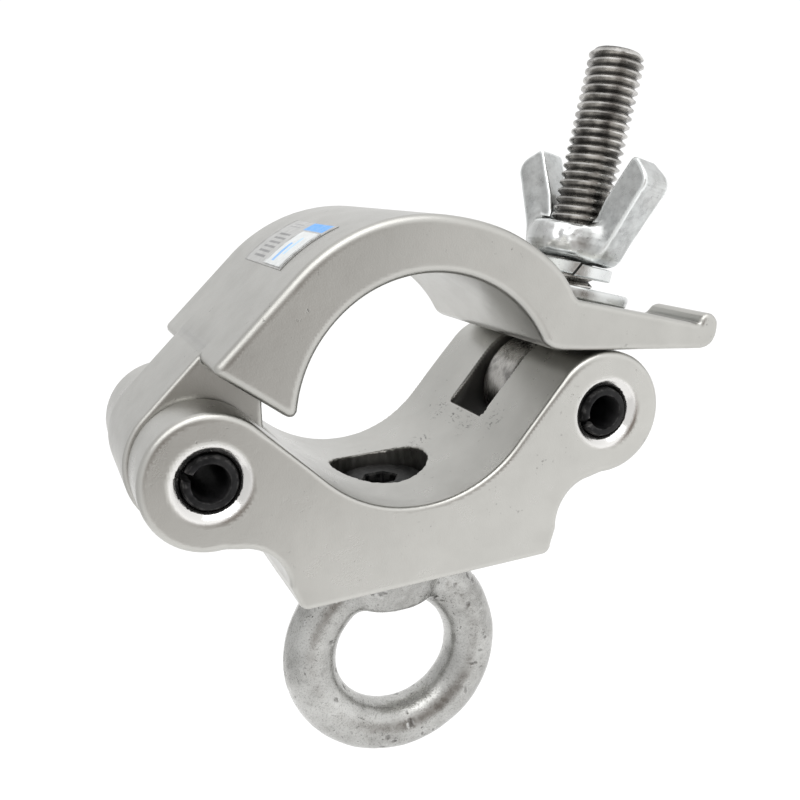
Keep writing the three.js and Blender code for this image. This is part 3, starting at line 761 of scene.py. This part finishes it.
def galvanised(name):
    material, tree, shader, coords = start_material(name, 1.0)
    broad = fine_noise(tree, coords, 70, 3, 0.6)
    mottle = fine_noise(tree, coords, 500, 5, 0.7)
    pit = stretch(tree, fine_noise(tree, coords, 1300, 2, 0.75), 0.62, 0.72)
    pit = times(tree, pit, stretch(tree, fine_noise(tree, coords, 150, 2), 0.44, 0.58))
    dust = stretch(tree, fine_noise(tree, coords, 2600, 3, 0.7), 0.52, 0.66)
    cloudy = stretch(tree, broad, 0.35, 0.65)
    colour = blend_colour(tree, cloudy, grey(0.33, (1, 0.99, 0.95)), grey(0.53, (1, 1, 0.97)))
    colour = blend_colour(tree, stretch(tree, mottle, 0.42, 0.66, 0, 0.4), colour, grey(0.62, (1, 1, 0.97)))
    # Painted shade: creases darkened.
    crease_shade = stretch(tree, attribute(tree, "crease_shade"), 0.02, 0.5, 0, 0.6)
    colour = blend_colour(tree, crease_shade, colour, grey(0.16, (1, 0.97, 0.94)))
    # Painted highlight: convex edges lightened.
    colour = blend_colour(tree, stretch(tree, attribute(tree, "edge"), 0.2, 1.0, 0, 0.35), colour, grey(0.78))
    colour = blend_colour(tree, times(tree, dust, 0.45), colour, grey(0.14, (1, 0.98, 0.94)))
    colour = blend_colour(tree, times(tree, pit, 0.8), colour, grey(0.1, (1, 0.97, 0.94)))
    tree.links.new(colour, shader.inputs["Base Color"])
    tree.links.new(stretch(tree, mottle, 0.3, 0.7, 0.19, 0.36), shader.inputs["Roughness"])
    set_bump(tree, shader, [(broad, 0.0006, 0.3), (mottle, 0.0002, 0.45), (pit, -0.0002, 0.6)])
    return material


def bare_steel(name):
    material, tree, shader, coords = start_material(name, 1.0)
    streak = node(tree, "Mapping", {"Vector": coords, "Scale": (1.0, 1.0, 0.15)})
    brushed = fine_noise(tree, streak, 900, 4, 0.6)
    blotch = fine_noise(tree, coords, 260, 3)
    groove, crest = attribute(tree, "groove"), attribute(tree, "crest")
    lines = stretch(tree, brushed, 0.3, 0.7)
    colour = blend_colour(tree, lines, grey(0.34, (1, 0.97, 0.92)), grey(0.60, (1, 0.975, 0.93)))
    stain = stretch(tree, blotch, 0.45, 0.65, 0, 0.75)
    colour = blend_colour(tree, stain, colour, grey(0.11, (1, 0.96, 0.92)))
    # Painted shade: the thread's grooves darkened.
    colour = blend_colour(tree, stretch(tree, groove, 0.6, 1.0, 0, 0.85), colour, grey(0.04, (1, 0.96, 0.92)))
    # Painted highlight: patchy lighter colour on the convex edges.
    scuff_and_highlight = stretch(tree, attribute(tree, "edge"), 0.3, 0.9, 0, 0.45)
    scuff_and_highlight = times(tree, scuff_and_highlight, stretch(tree, blotch, 0.35, 0.6, 1.0, 0.4))
    colour = blend_colour(tree, scuff_and_highlight, colour, grey(0.70, (1, 0.98, 0.95)))
    # Painted highlight: patchy lighter colour on the thread's crests.
    crest_highlight = times(tree, stretch(tree, crest, 0.8, 1.0), stretch(tree, blotch, 0.35, 0.55, 1.0, 0.25))
    colour = blend_colour(tree, crest_highlight, colour, grey(0.6, (1, 0.98, 0.95)))
    tree.links.new(colour, shader.inputs["Base Color"])
    tree.links.new(stretch(tree, brushed, 0.3, 0.7, 0.2, 0.36), shader.inputs["Roughness"])
    set_bump(tree, shader, [(blotch, 0.0001, 0.3), (brushed, 0.00005, 0.35)])
    return material


def blackened(name):
    material, tree, shader, coords = start_material(name, 0.2)
    mottle = fine_noise(tree, coords, 700, 4, 0.6)
    broad = fine_noise(tree, coords, 160, 2)
    patchy = stretch(tree, mottle, 0.35, 0.7)
    colour = blend_colour(tree, patchy, grey(0.004, (1, 1, 1.08)), grey(0.016, (1, 1, 1.08)))
    colour = blend_colour(tree, stretch(tree, broad, 0.5, 0.7, 0, 0.5), colour, grey(0.03, (1, 0.98, 0.98)))
    worn = stretch(tree, attribute(tree, "edge"), 0.25, 0.9, 0, 0.8)
    worn = times(tree, worn, stretch(tree, mottle, 0.45, 0.6))
    colour = blend_colour(tree, worn, colour, grey(0.12, (1, 0.97, 0.95)))
    shader.inputs["Specular IOR Level"].default_value = 0.18
    tree.links.new(colour, shader.inputs["Base Color"])
    tree.links.new(stretch(tree, mottle, 0.3, 0.7, 0.36, 0.54), shader.inputs["Roughness"])
    set_bump(tree, shader, [(mottle, 0.00006, 0.4)])
    return material


def in_band(tree, value, low, high, soft=0.012):
    rise = stretch(tree, value, low - soft, low + soft)
    fall = stretch(tree, value, high - soft, high + soft, 1.0, 0.0)
    return times(tree, rise, fall)


def label_material(name, ground, marks):
    """Plain printed film: marks are (u from, u to, v from, v to, repeats along v, colour)."""
    material, tree, shader, coords = start_material(name, 0.0)
    uv = node(tree, "TexCoord", output="UV")
    split = tree.nodes.new("ShaderNodeSeparateXYZ")
    tree.links.new(uv, split.inputs[0])
    u, v = split.outputs[0], split.outputs[1]
    worn = fine_noise(tree, coords, 600, 4, 0.6)
    faded = tuple(0.9 * c for c in ground[:3]) + (1,)
    colour = blend_colour(tree, stretch(tree, worn, 0.35, 0.7), ground, faded)
    for u0, u1, v0, v1, repeats, ink in marks:
        mask = times(tree, in_band(tree, u, u0, u1), in_band(tree, v, v0, v1))
        if repeats > 1:
            wave = times(tree, times(tree, times(tree, v, v0, "SUBTRACT"), repeats / (v1 - v0)), 1.0, "FRACT")
            mask = times(tree, mask, in_band(tree, wave, 0.28, 0.72, 0.06))
        mask = times(tree, mask, stretch(tree, worn, 0.25, 0.5, 0.75, 1.0))
        colour = blend_colour(tree, mask, colour, ink)
    middle = times(tree, in_band(tree, u, 0.015, 0.985, 0.02), in_band(tree, v, 0.01, 0.99, 0.015))
    soiled = times(tree, times(tree, 1.0, middle, "SUBTRACT"), stretch(tree, worn, 0.35, 0.6, 0.3, 0.8))
    colour = blend_colour(tree, soiled, colour, grey(0.25, (1, 0.98, 0.94)))
    tree.links.new(colour, shader.inputs["Base Color"])
    tree.links.new(stretch(tree, worn, 0.3, 0.7, 0.34, 0.5), shader.inputs["Roughness"])
    set_bump(tree, shader, [(worn, 0.00003, 0.3)])
    return material


# ---- the pieces ----
base_metal = cast_aluminium("cast_aluminium_base", 0.485, 0.26, 0.34)
jaw_metal = cast_aluminium("cast_aluminium_jaw", 0.46, 0.30, 0.38)
zinc = zinc_plate("zinc_plate")
black = blackened("blackened_steel")

mesh = field_mesh("base_casting", base_field, (-51, -25.2, -41), (51, 25.2, 0.5), 0.56,
                  masks={"machined": base_machined, "painted_recess_shade": base_painted_shade, "scuffed": base_scuffs})
finish_piece(mesh, "base", base_metal, ["base_saddle"])

mesh = field_mesh("jaw_casting", jaw_field, (-51.5, -25.2, -27.5), (65, 25.2, 26.8), 0.5)
finish_piece(mesh, "jaw", jaw_metal, ["jaw"])

nut_turn = ROD_FRAME @ np.array(Matrix.Rotation(math.radians(NUT_YAW), 3, "Z"))
nut_shift = np.array(ROD_ORIGIN) + ROD_AXIS * NUT_AT
mesh = field_mesh("wing_nut_zinc", nut_field, (-18, -10, -0.2), (18, 10, 22.8), 0.35,
                  nut_turn, nut_shift, {"machined": nut_land})
finish_piece(mesh, "wing_nut", zinc, ["wing_nut"])

mesh = field_mesh("eye_nut_forged", eye_field, (-24.5, -13, -90.5), (24.5, 13, -40), 0.45)
finish_piece(mesh, "base", galvanised("galvanised_steel"), ["eye_nut"])

steel = bare_steel("bare_steel")
mesh = field_mesh("swing_bolt_eye", bolt_eye_field, (-11.6, -7, -11.6), (11.6, 7, 16.2), 0.45,
                  ROD_FRAME, ROD_ORIGIN)
finish_piece(mesh, "swing_bolt", steel, ["swing_bolt"])
points, faces, shades = threaded_rod(14.5, ROD_END, ROD_R, 4.85, 4.6)
mesh = grid_mesh("swing_bolt_thread", points, faces, ROD_FRAME, ROD_ORIGIN, 40, shades)
finish_piece(mesh, "swing_bolt", steel)

profile = [(6.6, 0.3), (6.8, 0), (12.8, 0), (13.2, 0.35), (13.3, 1.3),
           (13.15, 2.1), (12.8, 2.4), (6.9, 2.4), (6.6, 2.1)]
profile = [(radius, FLAT_WASHER_AT + height) for radius, height in profile]
points, faces = loft(ring_loops(profile, 96, (FLAT_WASHER_SHIFT, 0)), closed=True)
mesh = grid_mesh("flat_washer_zinc", points, faces, ROD_FRAME, ROD_ORIGIN)
finish_piece(mesh, "washers", zinc, ["flat_washer"])

points, faces = square_spring(6.5, 9.2, SPRING_WASHER_AT, 2.5, -109.5, 248, 0.3)
mesh = grid_mesh("spring_washer_zinc", points, faces, ROD_FRAME, ROD_ORIGIN)
finish_piece(mesh, "washers", zinc, ["spring_washer"])

points, faces = screw_loops()
mesh = grid_mesh("eye_screw_black", points, faces)
finish_piece(mesh, "base", black, ["eye_screw"])

for name, centre, angle, cad_node in (("hinge_pin_black", (HINGE_X, 0, HINGE_Z), 205, "hinge_spring_pin"),
                                      ("bolt_pin_black", (BOLT_X, 0, BOLT_Z), 160, "bolt_spring_pin")):
    points, faces = spring_pin_loops(angle)
    mesh = grid_mesh(name, points, faces, shift=centre)
    finish_piece(mesh, "base", black, [cad_node])

LABEL_LOW, LABEL_HIGH = node_box("blank_label")
film = label_material("label_film", grey(0.43, (1, 1, 0.98)), [
    (0.12, 0.42, 0.08, 0.66, 6, grey(0.2)), (0.1, 0.36, 0.78, 0.92, 2, grey(0.3)),
    (0.5, 0.97, 0.78, 0.98, 1, (0.10, 0.36, 0.80, 1))])
patch = label_material("label_patch", grey(0.72, (0.97, 1, 1)), [
    (0.25, 0.4, 0.1, 0.62, 1, (0.20, 0.45, 0.82, 1)), (0.5, 0.62, 0.3, 0.8, 1, (0.45, 0.66, 0.90, 1))])
width = LABEL_HIGH[1] - LABEL_LOW[1]
for name, material, angles, share, lift, thick, nodes in (
        ("label_film", film, (131.3, 108.6), (0.0, 1.0), 0.02, 0.1, ["blank_label"]),
        ("label_patch", patch, (130.6, 114.5), (0.57, 0.98), 0.13, 0.12, [])):
    widths = [LABEL_HIGH[1] - width * s for s in share]
    verts, faces, uvs = label_sheet(angles, widths, OUTER[2] + lift, thick, 0.9)
    mesh = bpy.data.meshes.new(name)
    mesh.from_pydata([Vector(v) * MM for v in verts], [], faces)
    layer = mesh.uv_layers.new(name="print")
    for loop in mesh.loops:
        layer.data[loop.index].uv = uvs[loop.vertex_index]
    finish_piece(mesh, "jaw", material, nodes)


# ---- stage: floor, light and camera ----
def make_floor():
    material, tree, shader, coords = start_material("studio_floor", 0.0)
    soft = fine_noise(tree, coords, 3, 2)
    tree.links.new(blend_colour(tree, soft, grey(0.93), grey(0.95)), shader.inputs["Base Color"])
    shader.inputs["Roughness"].default_value = 0.9
    mesh = bpy.data.meshes.new("studio_floor")
    left, front, far, level = -0.3, -0.22, 12.0, CAD_LOW.z - 0.16
    corners = [(left, front, level), (far, front, level), (far, far, level), (left, far, level)]
    mesh.from_pydata(corners, [], [(0, 1, 2, 3)])
    mesh.materials.append(material)
    floor = bpy.data.objects.new("studio_floor", mesh)
    bpy.context.scene.collection.objects.link(floor)


def make_world():
    world = bpy.data.worlds.new("studio")
    bpy.context.scene.world = world
    world.use_nodes = True
    tree = world.node_tree
    sky = tree.nodes["Background"]
    direction = node(tree, "TexCoord", output="Generated")
    split = tree.nodes.new("ShaderNodeSeparateXYZ")
    tree.links.new(direction, split.inputs[0])
    towards = {0: direction, 1: Vector((-0.05, -0.997, 0.05))}
    facing = node(tree, "VectorMath", towards, 1, operation="DOT_PRODUCT")
    dark = stretch(tree, facing, 0.80, 0.99)
    side = stretch(tree, split.outputs[0], -0.55, -0.05, 0.72, 1.0)
    front = stretch(tree, split.outputs[1], -0.9, 0.1, 1.4, 1.02)
    bright = times(tree, side, front)
    white = node(tree, "CombineColor", {0: bright, 1: bright, 2: bright})
    studio = blend_colour(tree, dark, white, (0.27, 0.235, 0.21, 1))
    tree.links.new(blend_colour(tree, node(tree, "LightPath"), studio, grey(1.06)), sky.inputs["Color"])
    sky.inputs["Strength"].default_value = 1.0


def add_light(name, kind, direction, energy, size, distance=0.9, target=(0, 0, 0)):
    data = bpy.data.lights.new(name, kind)
    data.energy = energy
    if kind == "SUN":
        data.angle = math.radians(size)
    else:
        data.size = size
    lamp = bpy.data.objects.new(name, data)
    aim = Vector(direction).normalized()
    lamp.location = Vector(target) + aim * distance
    lamp.rotation_mode = "QUATERNION"
    lamp.rotation_quaternion = aim.to_track_quat("Z", "Y")
    bpy.context.scene.collection.objects.link(lamp)


def make_camera():
    azimuth, elevation, roll = (math.radians(a) for a in (-21.514, 14.745, -3.435))
    target, distance = Vector((5.507, 0, -12.149)) * MM, 191.109 * MM
    level = math.cos(elevation)
    back = Vector((math.sin(azimuth) * level, -math.cos(azimuth) * level, math.sin(elevation)))
    right = (-back).cross(Vector((0, 0, 1))).normalized()
    up = right.cross(-back)
    across = right * math.cos(roll) + up * math.sin(roll)
    upright = up * math.cos(roll) - right * math.sin(roll)
    data = bpy.data.cameras.new("camera")
    data.sensor_width = 36
    data.lens = 42.33
    data.clip_start = 0.01
    data.clip_end = 100
    camera = bpy.data.objects.new("camera", data)
    turn = Matrix((across, upright, back)).transposed().to_4x4()
    camera.matrix_world = Matrix.Translation(target + back * distance) @ turn
    bpy.context.scene.collection.objects.link(camera)
    bpy.context.scene.camera = camera


make_floor()
make_world()
add_light("soft_key", "SUN", (-0.45, -0.45, 0.85), 0.62, 45)
add_light("top_panel", "AREA", (0.1, -0.3, 1.0), 1.2, 0.5, 0.7)
make_camera()
bpy.context.scene.view_settings.view_transform = "Standard"
